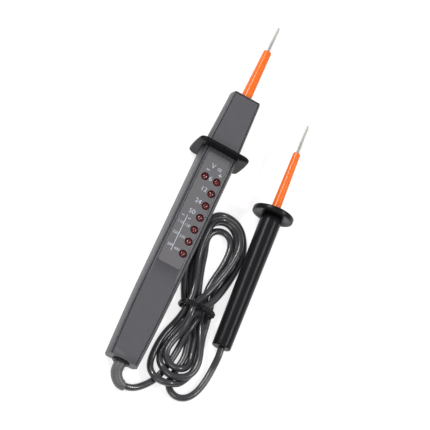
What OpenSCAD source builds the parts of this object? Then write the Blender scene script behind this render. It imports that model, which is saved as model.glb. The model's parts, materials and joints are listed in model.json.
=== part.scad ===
// Two-pole voltage tester: a main probe with eight lamps, a round second probe,
// and the lead between them, tied in a hank. Each probe lies on its guard and its tail.
// X runs across the main probe, Y towards its tip and Z up from the table.

/* [Housing] */
// Length of the lower housing, from the shoulder under the finger guard to the tail
body_l = 152; // [120:1:190]
// Width of the flat front at the shoulder
front_w = 22.4; // [19:0.1:27]
// Width of the flat front at the tail
front_w_tail = 19.6; // [16:0.1:22]
// Length over which the sides curve in to the tail
taper_l = 52; // [30:1:80]
// How much further out each side is at the seam than at the front
side_draft = 1.5; // [0.4:0.1:2.5]
// Depth in front of the seam at the shoulder
front_d = 8.1; // [7.5:0.1:11]
// Depth in front of the seam at the tail
front_d_tail = 7.2; // [7:0.1:10]
// Depth behind the seam at the shoulder
rear_d = 12.2; // [10:0.1:15]
// Depth behind the seam at the tail
rear_d_tail = 7.2; // [7:0.1:9.5]
// Wall thickness of both shells
wall = 1.8; // [1.4:0.1:2.4]
// Height of the lip that locates the front shell on the rear shell
lip_h = 1; // [0.6:0.1:1.6]
// Width of the shadow groove round the flat front
groove_w = 0.6; // [0.4:0.05:0.9]
// Depth of the shadow groove
groove_d = 0.8; // [0.4:0.05:1]

/* [Nose] */
// Length of the nose, from the shoulder to its tip face
nose_l = 44; // [36:0.5:60]
// Width of the flat front at the nose tip
nose_w = 18.2; // [15:0.1:20.5]
// Depth in front of the seam at the nose tip
nose_front_d = 7.4; // [6:0.1:9]
// Depth behind the seam at the nose tip
nose_rear_d = 7.2; // [6:0.1:9]
// Step from the housing down to the nose, where the guard rests
nose_step = 0.4; // [0.2:0.05:0.8]
// Radius of the nose's tip edges
nose_edge = 1.2; // [0.6:0.1:2]
// Length of the solid block that grips the probe sleeve
grip_l = 12; // [10.5:0.5:15]

/* [Finger guard] */
// Width of the guard
guard_w = 36.4; // [33:0.2:44]
// Height of the guard
guard_h = 33.2; // [31:0.2:38]
// Thickness of the guard
guard_t = 2; // [1.5:0.1:3]
// Width of the flat top and bottom edges of the guard
guard_flat = 25.6; // [20:0.2:28]
// Radius of the guard's corners
guard_r = 5; // [3:0.1:5.5]
// Bevel of the guard's edges
guard_bevel = 0.4; // [0.2:0.05:0.6]

/* [Lamps and legend] */
// Number of lamps in the long column
lamp_count = 7; // [4:1:7]
// Diameter of a lamp
lamp_d = 5; // [3:0.1:5.2]
// Distance from the shoulder to the first lamps
lamp_start = 19.6; // [14:0.1:26]
// Distance between two lamps of the column
lamp_pitch = 8.9; // [7.5:0.1:9.5]
// Distance of each column from the line between the two columns
lamp_x = 4.3; // [3.6:0.1:4.6]
// How far that line lies to the right of the middle
lamp_shift = 1; // [0:0.1:1.2]
// Height that a lamp stands proud of the legend panel
lamp_proud = 0.8; // [0.4:0.1:1.5]
// Length of the recessed legend panel
panel_l = 82; // [72:0.5:100]
// Distance from the shoulder to the legend panel
panel_start = 2.2; // [1.5:0.1:6]
// Width of the legend panel
panel_w = 16.8; // [16.4:0.1:17.4]
// Depth of the legend panel
panel_d = 0.3; // [0.15:0.05:0.5]

/* [Probes] */
// Diameter of both bare probe pins
pin_d = 2.8; // [2:0.1:3]
// Length of the point on each pin
point_l = 2.6; // [1.5:0.1:4]
// Bare length of the main pin
main_pin_l = 19.7; // [14:0.1:26]
// Length of the main sleeve outside the nose
main_sleeve_l = 38; // [30:0.1:50]
// Diameter of the main sleeve at the nose
main_sleeve_d = 7.3; // [6.6:0.1:8]
// Diameter of the main sleeve at its top
main_sleeve_top = 5.6; // [5.2:0.1:6.2]
// Bare length of the second pin
second_pin_l = 21.4; // [14:0.1:28]
// Length of the second sleeve outside its guard
second_sleeve_l = 44; // [32:0.1:52]
// Diameter of the second sleeve at the guard
second_sleeve_d = 6.5; // [6:0.1:7.2]
// Diameter of the second sleeve at its top
second_sleeve_top = 5; // [4.8:0.1:5.8]

/* [Second probe] */
// Length of the round handle
handle_l = 94; // [80:0.5:115]
// Diameter of the handle at the guard
handle_d = 14.3; // [11.5:0.1:16]
// Diameter of the handle at its tail
handle_tail_d = 12.6; // [10.5:0.1:14]
// Diameter of the round guard
disc_d = 27.8; // [22:0.1:32]
// Thickness of the round guard
disc_t = 3.5; // [2.5:0.1:5]
// Radius of the rims of the round guard and the handle's tail
rim_r = 0.8; // [0.4:0.1:1.2]
// Distance between the two probes at the round guard
probe_gap = 49.3; // [46:0.1:60]
// Distance that the round guard lies behind the shoulder
second_back = 18.8; // [0:0.1:40]
// Angle that the second probe points in towards the main one
second_turn = 3.3; // [0:0.1:8]

/* [Lead] */
// Diameter of the lead
lead_d = 4.2; // [3.6:0.1:5]
// Diameter of the strain relief
relief_d = 7.8; // [6.4:0.1:8.4]
// Diameter of the collar at the tail
collar_d = 11.4; // [10.4:0.1:12]
// Height of the hank's outer shape
hank_h = 9.6; // [8:0.2:12]
// Width of the hank where it is tied
waist_w = 19; // [16:0.5:24]
// Width of the twist tie
tie_w = 3.6; // [2.5:0.1:5]
// Thickness of the twist tie
tie_t = 0.9; // [0.6:0.1:1.5]

/* [Hidden] */
$fn = 48;
body_grey = [0.39, 0.39, 0.41];
gloss_black = [0.06, 0.06, 0.07];
lead_grey = [0.27, 0.27, 0.29];
probe_orange = [0.97, 0.43, 0.08];
steel = [0.72, 0.72, 0.7];
brass = [0.78, 0.64, 0.32];
lamp_red = [0.42, 0.03, 0.04];

// Clearances
slip = 0.05; // between a piece and the hole that holds it
seat = 0.1; // between faces that rest on each other inside

// A section of the housing: half widths at the front, at the seam and at the back,
// then the depths in front of and behind the seam
rear_draft = 0.9;
tail_s = [front_w_tail / 2, front_w_tail / 2 + side_draft, front_w_tail / 2 + side_draft - rear_draft,
    front_d_tail, rear_d_tail];
shoulder_s = [front_w / 2, front_w / 2 + side_draft, front_w / 2 + side_draft - rear_draft, front_d, rear_d];
root_s = shoulder_s - nose_step * [1, 1, 1, 1, 1];
tip_s = [nose_w / 2, nose_w / 2 + side_draft, nose_w / 2 + side_draft - rear_draft,
    nose_front_d, nose_rear_d];
rim_bevel = 0.15; // bevel of the front's outer edge
rim_land = 0.8; // from that edge to the shadow groove on the housing
nose_land = 0.25; // the same on the nose, where the groove runs close to the edge
face_bevel = 0.5; // bevel of the flat front at the groove
back_r = 2.4; // radius of the long edges of the back
tail_bevel = 1.6; // how far the back is cut away at the tail
tail_front_bevel = 0.6; // bevel of the front at the tail

// The guard sits in a neck between the housing and the nose
neck_in = 0.85; // how far the neck is inside the nose beside it, which is more than the groove's depth
neck_l = guard_t + 2 * slip;
neck_s = root_s - neck_in * [1, 1, 1, 1, 1];

// Lamps, from their dome down to the board
flange_h = 1;
flange_w = 0.4;
lamp_h = 8.6;
lead_wire_r = 0.25;
wire_hole_r = 0.45;
wire_x = 1.27;
wire_l = 3;
lamp_slope = atan((front_d - front_d_tail) / body_l);
board_depth = lamp_h - lamp_proud + panel_d; // from the flat front down to the board
board_t = 1.6;
board_start = 8; // from the shoulder
tail_room = 26; // from the board's end to the tail, for the screw and the lead
board_end = body_l - tail_room; // from the shoulder
board_l = board_end - board_start;
board_side = 1.2; // gap between the board and the walls at the seam
parts_start = lamp_start + lamp_pitch * lamp_count; // from the shoulder to the first resistor
part_wire_r = 0.3;
part_lift = 0.6; // from the board to a resistor or diode
resistor_r = 1.2;
resistor_l = 6.4;
resistor_span = 10; // between its two wires
resistor_pitch = 4;
diode_r = 0.9;
diode_l = 3.6;
diode_span = 5.6;
limiter_r = 3.4;
limiter_t = 2.2;
limiter_wire_x = 2;
limiter_y = -(board_end - 17.1);
resistor_room = -limiter_y - limiter_r - resistor_r - seat - parts_start;
rib_t = 1.2;
rib_y = [-board_start - 7.5, -parts_start + 4, limiter_y - 7];
peg_r = 1.3;
peg_side = -5.5; // beside the lamps, in the empty column
pegs = [[peg_side, -lamp_start - 10.4], [peg_side, -lamp_start - 36.4], [0, -parts_start - 2.1],
    [0, -board_end + 14]];
contact_t = 0.5;
contact_w = 2.4;
core_r = 0.9;
core_side = 6; // where the core wire passes the tail screw

// Fixings
screw_r = 1.1;
screw_head_r = 2.4;
screw_head_h = 1.8;
screw_floor = 2.2; // plastic left under a screw head
screw_l = 6.5; // length of the screw's hole in the front shell
boss_r = 3;
nose_screw_y = 13;
tail_screw_y = -(body_l - 15);

// Pins and sleeves
shank_r = pin_d / 2 + 0.3;
sleeve_in = 8; // length of a sleeve inside its holder
shank_in = 6; // length of the shank beyond the sleeve's inner end
shank_out = 0.3; // how far the shank stands out of the sleeve

// Collar and strain relief
collar_out = 1.5; // flange outside the tail
collar_in = 1.4; // flange inside the tail wall
collar_neck_r = relief_d / 2 + 0.6;
relief_in = 4.5; // strain relief inside the tail face
relief_out = [[0, -3.2, -0.3], [0.2, -5.9, -0.8], [1.9, -9.2, -1.5], [4.7, -11.5, -2.1], [7.3, -12, -2.6],
    [8.6, -11.8, -2.8]];

// How the main probe lies: on the bottom edge of its guard and the back edge of its tail
tail_rest_y = body_l - tail_bevel;
tail_rest_z = rear_d_tail + (rear_d - rear_d_tail) * tail_bevel / body_l;
rest_tilt = atan((guard_h / 2 - tail_rest_z) / tail_rest_y);
rest_z = guard_h / 2 * cos(rest_tilt);
// How the second probe lies: on the rim of its round guard and the rim of its tail
second_tilt = atan((disc_d - handle_tail_d) / 2 / handle_l);
second_z = (disc_d / 2 - rim_r) * cos(second_tilt) + rim_r - rim_r * sin(second_tilt);

// The origin is under the middle of the two probes
disc_reach = disc_d / 2 * cos(second_turn) + disc_t * sin(second_turn) / 2;
disc_mid_x = probe_gap - disc_t / 2 * sin(second_turn) * cos(second_tilt);
tip_y = (nose_l + main_sleeve_l + main_pin_l) * cos(rest_tilt);
tail_y = -(body_l + collar_out) * cos(rest_tilt) - collar_d / 2 * sin(rest_tilt);
main_x = (guard_w / 2 - disc_mid_x - disc_reach) / 2;
main_y = -(tip_y + tail_y) / 2;
second_x = main_x + probe_gap;
second_y = main_y - second_back;

// The lead: route points chosen by hand, where it lies on the table outside its hank
lead_r = lead_d / 2;
lead_in_route = [[-6.9, -136.2, 2.4], [-2.6, -131.5, 2.1], [0.2, -127.6, 2.1],
    [2.35, -123.4, 2.1]];
lead_out_route = [[13.9, -126.5, 2.1], [16.3, -128.2, 2.1], [19.6, -128.9, 2.1], [24.6, -126.6, 2.1],
    [28.9, -120.8, 2.1], [31.5, -111.6, 2.2], [32.7, -101.8, 3.2], [32.9, -93.6, 5]];
// The hank: the middles and radii of its two lobes, and its tied waist
upper_lobe = [5.7, -18.2, 15.2];
lower_lobe = [9.8, -109.2, 16];
waist = [7.3, -71.3, waist_w / 2];
waist_l = tie_w + 1;

// Fractions between two values, and points of a smooth curve through four
function mix(a, b, t) = a + (b - a) * t;
function through(a, b, c, d, t) =
    0.5 * (2 * b + (c - a) * t + (2 * a - 5 * b + 4 * c - d) * t * t + (3 * b - a - 3 * c + d) * t * t * t);
function smooth_route(p, steps) = let (n = len(p) - 1) concat(
    [for (i = [0 : n - 1], k = [0 : steps - 1])
        through(p[max(0, i - 1)], p[i], p[i + 1], p[min(n, i + 2)], k / steps)],
    [p[n]]);

// Sections along the housing, whose sides curve in towards the tail, and along the nose
function body_s(y) = let (
        wide = 1 - pow(max(0, 1 - (body_l + y) / taper_l), 1.5), deep = 1 + y / body_l)
    [for (i = [0 : 4]) mix(tail_s[i], shoulder_s[i], i < 3 ? wide : deep)];
// Where the sections stand, from just inside the tail to the shoulder
function body_stations(start, end) = concat([start - body_l],
    [for (t = [0.15, 0.32, 0.52, 0.75, 1]) t * taper_l - body_l], [end]);
function nose_s(y) = mix(root_s, tip_s, y / nose_l);
function inset(s, d) = s - d * [1, 1, 1, 1, 1];
function front_z(y) = mix(front_d, front_d_tail, -y / body_l);

// Half outlines, from the right of the seam round to the left, as [x, z]
function both_sides(right) = concat(right, [for (i = [len(right) - 1 : -1 : 0]) [-right[i][0], right[i][1]]]);
function front_outline(s, land) = let (edge = s[0] - land, floor_z = s[3] - groove_d, inner = edge - groove_w)
    both_sides([
        [s[1], 0], [mix(s[0], s[1], 0.62), s[3] * 0.55], [s[0], s[3] - rim_bevel],
        [s[0] - rim_bevel, s[3]], [edge, s[3]],
        [edge, floor_z], [inner, floor_z], [inner, s[3] - face_bevel], [inner - face_bevel, s[3]]
    ]);
function neck_outline(s) = both_sides([
    [s[1], 0], [mix(s[0], s[1], 0.62), s[3] * 0.55], [s[0], s[3] - rim_bevel], [s[0] - rim_bevel, s[3]]]);
function rear_outline(s) = both_sides(concat([[s[1], 0]],
    [for (a = [0 : 22.5 : 90]) back_corner(s, 1, a)]));
function front_hollow(s) = both_sides([
    [s[1] - wall, 0], [s[1] - wall, s[3] * 0.3], [s[0] - wall - groove_w, s[3] - wall - groove_d / 2]]);
function rear_hollow(s) = both_sides([
    [s[1] - wall, 0], [s[2] - wall, -s[4] + wall + back_r / 2], [s[2] - wall - back_r / 2, -s[4] + wall]]);

// Twice the area of an outline, below zero if it runs clockwise
function turns(p, i = 0) = i == len(p) ? 0 : let (q = p[(i + 1) % len(p)])
    p[i][0] * q[1] - q[0] * p[i][1] + turns(p, i + 1);
// A solid through outlines, each given as [y, points]
module loft(stations) {
    n = len(stations[0][1]);
    last = len(stations) - 1;
    flip = turns(stations[0][1]) < 0;
    points = [for (s = stations, p = s[1]) [p[0], s[0], p[1]]];
    sides = [for (k = [0 : last - 1], i = [0 : n - 1], half = [0, 1])
        let (a = k * n + i, b = k * n + (i + 1) % n, c = a + n, d = b + n)
            half == 0 ? [a, b, c] : [b, d, c]];
    faces = concat(sides, [[for (i = [n - 1 : -1 : 0]) i]], [[for (i = [0 : n - 1]) last * n + i]]);
    polyhedron(points, flip ? [for (f = faces) [for (i = [len(f) - 1 : -1 : 0]) f[i]]] : faces);
}

// A round tube along a route
module swept(route, r, sides) {
    n = len(route);
    function heading(i) = let (d = route[min(n - 1, i + 1)] - route[max(0, i - 1)]) d / norm(d);
    points = [for (i = [0 : n - 1]) let (
            along = heading(i), flat = cross(along, [0, 0, 1]),
            side = flat / norm(flat), up = cross(side, along))
        for (k = [0 : sides - 1]) route[i] + r * (cos(360 * k / sides) * side + sin(360 * k / sides) * up)];
    walls = [for (i = [0 : n - 2], k = [0 : sides - 1], half = [0, 1])
        let (a = i * sides + k, b = i * sides + (k + 1) % sides, c = a + sides, d = b + sides)
            half == 0 ? [a, b, c] : [b, d, c]];
    polyhedron(points, concat(walls,
        [[for (k = [sides - 1 : -1 : 0]) k]], [[for (k = [0 : sides - 1]) (n - 1) * sides + k]]));
}

// A panel with round corners
module panel(w, l, r) {
    polygon([for (c = [[1, 1, 0], [-1, 1, 90], [-1, -1, 180], [1, -1, 270]], a = [0 : 15 : 90])
        [c[0] * (w / 2 - r) + r * cos(c[2] + a), c[1] * (l / 2 - r) + r * sin(c[2] + a)]]);
}

// Where things stand
module in_main() {
    translate([main_x, main_y, rest_z]) rotate([rest_tilt, 0, 0]) children();
}
module in_second() {
    translate([second_x, second_y, second_z]) rotate([0, 0, second_turn]) rotate([second_tilt, 0, 0])
        children();
}
module on_front(y) {
    translate([0, y, front_z(y)]) rotate([lamp_slope, 0, 0]) children();
}
module along_y(y) {
    translate([0, y, 0]) rotate([-90, 0, 0]) children();
}
function main_point(p) = [main_x + p[0], main_y + p[1] * cos(rest_tilt) - p[2] * sin(rest_tilt),
    rest_z + p[1] * sin(rest_tilt) + p[2] * cos(rest_tilt)];
function lamp_y(i) = -lamp_start - lamp_pitch * i;

// The outer form of a shell: the housing, the neck under the guard, and the nose with its rounded tip.
// The housing and the nose run on past their ends and are cut off square.
function shell_outline(front, s, land) = front ? front_outline(s, land) : rear_outline(s);
module outer_form(front, tail_end, bevel) {
    function cut(s, land = rim_land) = shell_outline(front, s, land);
    tip = nose_s(nose_l);
    over = 1;
    between(-body_l, 0) loft([
        [-body_l - over, cut(tail_end)], [-body_l, cut(tail_end)],
        for (y = body_stations(bevel, over)) [y, cut(body_s(y))]]);
    loft([for (y = [-wall, neck_l + wall]) [y, front ? neck_outline(neck_s) : cut(neck_s)]]);
    between(neck_l, nose_l) loft([
        for (y = [neck_l - over, nose_l - nose_edge]) [y, cut(nose_s(y), nose_land)],
        for (e = [[-0.3, 0.3], [0, 1]])
            [nose_l + e[0] * nose_edge, cut(inset(tip, e[1] * nose_edge), nose_land)],
        [nose_l + over, cut(inset(tip, nose_edge), nose_land)]]);
}
module between(low, high) {
    intersection() {
        children();
        translate([-50, low, -50]) cube([100, high - low, 100]);
    }
}

// Cuts that both shells share: the tail hole, the nose bore and the screw holes
module shared_bores() {
    along_y(-body_l - 1) cylinder(r = collar_neck_r + slip, h = wall + 2);
    along_y(nose_l - sleeve_in - slip) cylinder(r = main_sleeve_d / 2 + slip, h = sleeve_in + 1);
    along_y(nose_l - grip_l - 1) cylinder(r = shank_r + slip, h = grip_l);
}

// Front shell: outer form, less its hollow, with the legend panel, lamp holes and screw posts
module front_shell() {
    color(body_grey) difference() {
        union() {
            difference() {
                outer_form(true, inset(tail_s, tail_front_bevel), tail_front_bevel);
                loft([for (y = body_stations(wall, -wall)) [y, front_hollow(body_s(y))]]);
                loft([for (y = [-wall - 1, nose_l - grip_l]) [y, front_hollow(nose_s(y))]]);
                lip_space(slip);
            }
            for (y = [nose_screw_y, tail_screw_y]) screw_post(y);
            for (at = pegs) board_peg(at);
        }
        shared_bores();
        for (y = [nose_screw_y, tail_screw_y]) translate([0, y, -1])
            cylinder(r = screw_r + slip, h = screw_l);
        on_front(-panel_start - panel_l / 2) translate([0, 0, -panel_d]) linear_extrude(height = 2)
            panel(panel_w, panel_l, 2.2);
        nose_groove();
        for (i = [0 : lamp_count]) lamp_hole(lamp_spot(i));
    }
}
module screw_post(y) {
    top = (y > 0 ? nose_s(y)[3] : body_s(y)[3]) - wall / 2;
    translate([0, y, seat]) cylinder(r = boss_r, h = top - seat);
}
module board_peg(at) {
    on_front(at[1]) translate([at[0], 0, seat - board_depth])
        cylinder(r = peg_r, h = board_depth - wall / 2);
}
// The shadow groove crosses the nose near its tip
module nose_groove() {
    s = nose_s(nose_l);
    half = s[0] - nose_land - groove_w / 2;
    translate([-half, nose_l - nose_edge - groove_w, s[3] - groove_d]) cube([2 * half, groove_w, 2]);
}
module lamp_hole(at) {
    on_front(at[1]) translate([at[0], 0, -wall - 3]) cylinder(d = lamp_d + 2 * seat, h = wall + 6);
}

// The lip on the rear shell runs round the inside of the wall; the front shell has room for it
module lip_space(gap) {
    loft([for (y = body_stations(wall / 2 - gap, -wall / 2)) [y, lip_outline(body_s(y), gap)]]);
    loft([for (y = [-wall / 2 - 1, nose_l - grip_l + wall / 2 + gap]) [y, lip_outline(nose_s(y), gap)]]);
}
function lip_outline(s, gap) = let (x = s[1] - wall / 2 - seat + gap)
    [[x, -0.01], [x, lip_h + gap], [-x, lip_h + gap], [-x, -0.01]];
module lip() {
    difference() {
        lip_space(0);
        loft([for (y = body_stations(wall, -wall)) [y, upright_hollow(body_s(y))]]);
        loft([for (y = [-wall - 2, nose_l - grip_l]) [y, upright_hollow(nose_s(y))]]);
    }
}
function upright_hollow(s) = let (x = s[1] - wall) [[x, -1], [x, lip_h + 1], [-x, lip_h + 1], [-x, -1]];

// Rear shell: deeper at the shoulder than at the tail, cut back at the tail, with its lip and screw bosses
module rear_shell() {
    color(body_grey) difference() {
        union() {
            difference() {
                outer_form(false, tail_s - [0, 0, 0, 0, tail_bevel], tail_bevel);
                loft([for (y = body_stations(wall, -wall)) [y, rear_hollow(body_s(y))]]);
                loft([for (y = [-wall - 1, nose_l - grip_l]) [y, rear_hollow(nose_s(y))]]);
            }
            lip();
            for (y = [nose_screw_y, tail_screw_y]) screw_boss(y);
            for (y = rib_y) board_rib(y);
        }
        shared_bores();
        for (y = [nose_screw_y, tail_screw_y]) screw_clearance(y);
    }
}
function back_z(y) = -(y > 0 ? nose_s(y)[4] : body_s(y)[4]);
module board_rib(y) {
    s = body_s(y);
    top = front_z(y) - board_depth - board_t - seat;
    translate([wall / 2 - s[2], y - rib_t / 2, wall / 2 - s[4]])
        cube([2 * s[2] - wall, rib_t, top + s[4] - wall / 2]);
}
module screw_boss(y) {
    translate([0, y, back_z(y) + wall / 2]) cylinder(r = boss_r + wall / 3, h = -back_z(y) - wall / 2);
}
head_z = -screw_floor - screw_head_h - slip;
module screw_clearance(y) {
    translate([0, y, -30]) cylinder(r = screw_r + 0.3, h = 31);
    translate([0, y, -30]) cylinder(r = screw_head_r + 0.2, h = 30 - screw_floor);
}
module case_screws() {
    color(steel) for (y = [nose_screw_y, tail_screw_y]) translate([0, y, 0]) difference() {
        union() {
            translate([0, 0, head_z]) cylinder(r = screw_head_r, h = screw_head_h);
            translate([0, 0, head_z + screw_head_h / 2])
                cylinder(r = screw_r, h = screw_floor + screw_l - 0.6);
        }
        for (a = [0, 90]) rotate([0, 0, a]) translate([-1.4, -0.25, head_z - 1]) cube([2.8, 0.5, 1.8]);
    }
}

// Finger guard: a bowed plate with bevelled edges, held in the neck
function guard_outline(d) = let (
        r = guard_r - d, bow = guard_w / 2 - guard_flat / 2 - guard_r, side_z = guard_h / 2 - guard_r,
        corner = [for (a = [90 : -15 : 15]) [guard_flat / 2 + r * cos(a), side_z + r * sin(a)]],
        flank = [for (t = [1 : -0.25 : 0]) [guard_flat / 2 + r + bow * (1 - t * t), side_z * t]],
        quarter = concat(corner, flank),
        half = concat(quarter, [for (i = [len(quarter) - 2 : -1 : 0]) [quarter[i][0], -quarter[i][1]]]))
    concat([for (p = half) [p[0], -p[1]]], [for (p = half) [-p[0], p[1]]]);
module finger_guard() {
    b = guard_bevel;
    color(gloss_black) difference() {
        loft([for (e = [[slip, b], [slip + b, 0], [slip + guard_t - b, 0], [slip + guard_t, b]])
            [e[0], guard_outline(e[1])]]);
        loft([for (y = [-1, guard_t + 1]) [y, guard_hole(inset(neck_s, -slip))]]);
    }
}
function guard_hole(s) = concat(
    neck_outline(s),
    [for (a = [0 : 22.5 : 90]) back_corner(s, -1, a)],
    [for (a = [90 : -22.5 : 0]) back_corner(s, 1, a)]);
function back_corner(s, side, a) = [side * (s[2] - back_r + back_r * cos(a)),
    -s[4] + back_r - back_r * sin(a)];

// The board behind the front, and what it carries
module circuit_board() {
    half = min(body_s(-board_start)[1], body_s(-board_start - board_l)[1]) - wall - board_side;
    color([0.1, 0.32, 0.2]) on_front(-board_start) difference() {
        translate([-half, -board_l, -board_depth - board_t]) cube([2 * half, board_l, board_t]);
        for (i = [0 : lamp_count]) translate(lamp_spot(i) + [0, board_start, -board_depth - board_t - 1])
            for (x = [-wire_x, wire_x]) translate([x, 0, 0])
                cylinder(r = wire_hole_r, h = board_t + 2, $fn = 16);
    }
}
function lamp_spot(i) = i == lamp_count
    ? [lamp_shift - lamp_x, lamp_y(0), 0] : [lamp_shift + lamp_x, lamp_y(i), 0];
module lamp(i) {
    r = lamp_d / 2;
    color(lamp_red) on_front(0) translate(lamp_spot(i) + [0, 0, -board_depth]) {
        rotate_extrude() polygon(concat(
            [[0, seat / 2], [r + flange_w, seat / 2], [r + flange_w, flange_h], [r, flange_h]],
            [for (a = [0 : 11.25 : 90]) [r * cos(a), lamp_h - r + r * sin(a)]]));
        for (x = [-wire_x, wire_x]) translate([x, 0, -wire_l])
            cylinder(r = lead_wire_r, h = wire_l + 0.5, $fn = 16);
    }
}

// Parts on the back of the board stand on their wires
module on_board(y) {
    on_front(-board_start) translate([0, y + board_start, -board_depth - board_t]) rotate([0, 180, 0])
        children();
}
module axial_part(r, l, span) {
    up = r + part_lift;
    translate([-l / 2, 0, up]) rotate([0, 90, 0]) cylinder(r = r, h = l, $fn = 24);
    for (side = [-1, 1]) {
        translate([side * span / 2, 0, seat / 2]) cylinder(r = part_wire_r, h = up, $fn = 16);
        translate([min(0, side * span / 2), 0, up]) rotate([0, 90, 0])
            cylinder(r = part_wire_r, h = span / 2, $fn = 16);
    }
}
module resistors() {
    color([0.75, 0.68, 0.5]) for (y = [0 : resistor_pitch : resistor_room]) on_board(-parts_start - y)
        axial_part(resistor_r, resistor_l, resistor_span);
}
module diodes() {
    color([0.15, 0.13, 0.12]) for (i = [0 : min(3, lamp_count - 2)]) on_board(lamp_y(i + 0.5))
        axial_part(diode_r, diode_l, diode_span);
}
module current_limiter() {
    color([0.2, 0.35, 0.6]) on_board(limiter_y) {
        translate([0, 0, 1]) cylinder(r = limiter_r, h = limiter_t);
        for (x = [-limiter_wire_x, limiter_wire_x]) translate([x, 0, seat / 2])
            cylinder(r = part_wire_r, h = 1 + limiter_t / 2, $fn = 16);
    }
}

// Flat brass contact from the board to the end of the pin, with an upright tongue
module probe_contact() {
    z = front_z(-board_start) - board_depth - board_t - seat;
    root = nose_l - sleeve_in - shank_in - seat;
    low = -board_start - 5;
    w = contact_w;
    color(brass) {
        translate([0, 0, z - contact_t]) linear_extrude(height = contact_t) polygon([
            [1.7 * w, low], [2.9 * w, low], [2.9 * w, root - 2 * w], [1.3 * w, root], [-w / 2, root],
            [-w / 2, root - 1.2 * w], [0.9 * w, root - 1.2 * w], [1.7 * w, root - 2.4 * w]]);
        translate([-w / 2, root - contact_t, z - contact_t]) cube([w, contact_t, w]);
    }
}

// Wire from the lead to the back of the board, round the tail screw
module core_wire() {
    z = front_z(-board_end) - board_depth - board_t - core_r - 3 * seat;
    out = -body_l + relief_in;
    color([0.75, 0.2, 0.15]) swept(smooth_route([
        [0, out + 2 * seat, 0], [core_r / 4, out + 2, 0], [core_side / 2, out + 4.5, -1],
        [core_side, tail_screw_y - 1.5, z + core_r], [core_side, tail_screw_y + 4, z],
        [core_side * 0.6, -board_end + 2, z], [core_side / 2, -board_end + core_side, z]], 3), core_r, 8);
}

// A pin with its thicker shank, which ends just outside the sleeve
module probe_pin(out) {
    in = shank_in + sleeve_in;
    r = pin_d / 2;
    color(steel) rotate([-90, 0, 0]) rotate_extrude() polygon([
        [0, -in], [shank_r, -in], [shank_r, out[0] + shank_out], [r, out[0] + shank_out],
        [r, out[0] + out[1] - point_l],
        [r * 0.45, out[0] + out[1] - point_l * 0.12], [0, out[0] + out[1]]]);
}
// A sleeve, from its inner end to its domed mouth
module probe_sleeve(l, base_r, top_r, dome) {
    bore = shank_r + slip;
    color(probe_orange) rotate([-90, 0, 0]) rotate_extrude() polygon(concat(
        [[bore, -sleeve_in], [base_r, -sleeve_in], [base_r, 0]],
        [for (a = [0 : 15 : 75]) [top_r - dome + dome * cos(a), l - dome + dome * sin(a)]],
        [[top_r - dome, l], [bore, l]]));
}
module main_pin() {
    translate([0, nose_l, 0]) probe_pin([main_sleeve_l, main_pin_l]);
}
module main_sleeve() {
    translate([0, nose_l, 0]) probe_sleeve(main_sleeve_l, main_sleeve_d / 2, main_sleeve_top / 2, 0.7);
}

// Collar that holds the strain relief in the tail
module tail_collar() {
    neck = wall + seat;
    bore = relief_d / 2 + slip;
    snap = collar_neck_r + 0.4;
    color(gloss_black) along_y(-body_l) rotate_extrude() polygon([
        [bore, -collar_out], [collar_d / 2 - 0.4, -collar_out], [collar_d / 2, -collar_out + 0.4],
        [collar_d / 2, -slip], [collar_neck_r, -slip], [collar_neck_r, neck],
        [snap, neck], [snap, neck + collar_in], [bore, neck + collar_in]]);
}
relief_start = main_point([0, -body_l - collar_out, 0]);
relief_route = concat([main_point([0, -body_l + relief_in, 0]), relief_start],
    [for (p = relief_out) relief_start + p]);
module strain_relief() {
    color([0.45, 0.45, 0.46]) swept(smooth_route(relief_route, 3), relief_d / 2, 16);
}

// The lead: two free stretches and the outer shape of the hank
module lead_in() {
    last = relief_route[len(relief_route) - 1];
    run = last - relief_route[len(relief_route) - 2];
    way = run / norm(run);
    route = concat([last + 4 * seat * way, last + lead_d * way], lead_in_route);
    color(lead_grey) swept(smooth_route(route, 2), lead_r, 8);
}
handle_end = [second_x + sin(second_turn) * cos(second_tilt) * handle_l,
    second_y - cos(second_turn) * cos(second_tilt) * handle_l, second_z - sin(second_tilt) * handle_l];
module lead_out() {
    last = handle_end - [0, 2 * seat, 0];
    color(lead_grey) swept(smooth_route(concat(lead_out_route, [last]), 2), lead_r, 8);
}
module lead_hank() {
    color(lead_grey) linear_extrude(height = hank_h) {
        translate([waist[0] - waist[2], waist[1] - waist_l / 2]) square([2 * waist[2], waist_l]);
        for (lobe = [[upper_lobe, 1], [lower_lobe, -1]]) hull() {
            translate([lobe[0][0], lobe[0][1]]) circle(r = lobe[0][2]);
            translate([waist[0], waist[1] + lobe[1] * waist_l / 2])
                square([2 * waist[2], seat], center = true);
        }
    }
}
module twist_tie() {
    side = waist[2] + seat;
    color(gloss_black) translate([waist[0], waist[1], 0]) {
        rotate([90, 0, 0]) translate([0, 0, -tie_w / 2]) linear_extrude(height = tie_w) difference() {
            polygon([[-side - tie_t, seat], [-side, 0], [side, 0], [side + tie_t, seat],
                [side + tie_t, hank_h + tie_t], [-side - tie_t, hank_h + tie_t]]);
            polygon([[-side, -1], [side, -1], [side, hank_h + seat], [-side, hank_h + seat]]);
        }
        translate([3, 0, hank_h + tie_t + 1.3]) rotate([0, 90, 15])
            linear_extrude(height = 9, center = true, twist = 540, slices = 18)
                for (x = [-0.7, 0.7]) translate([x, 0]) circle(r = 0.75, $fn = 8);
    }
}

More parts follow.
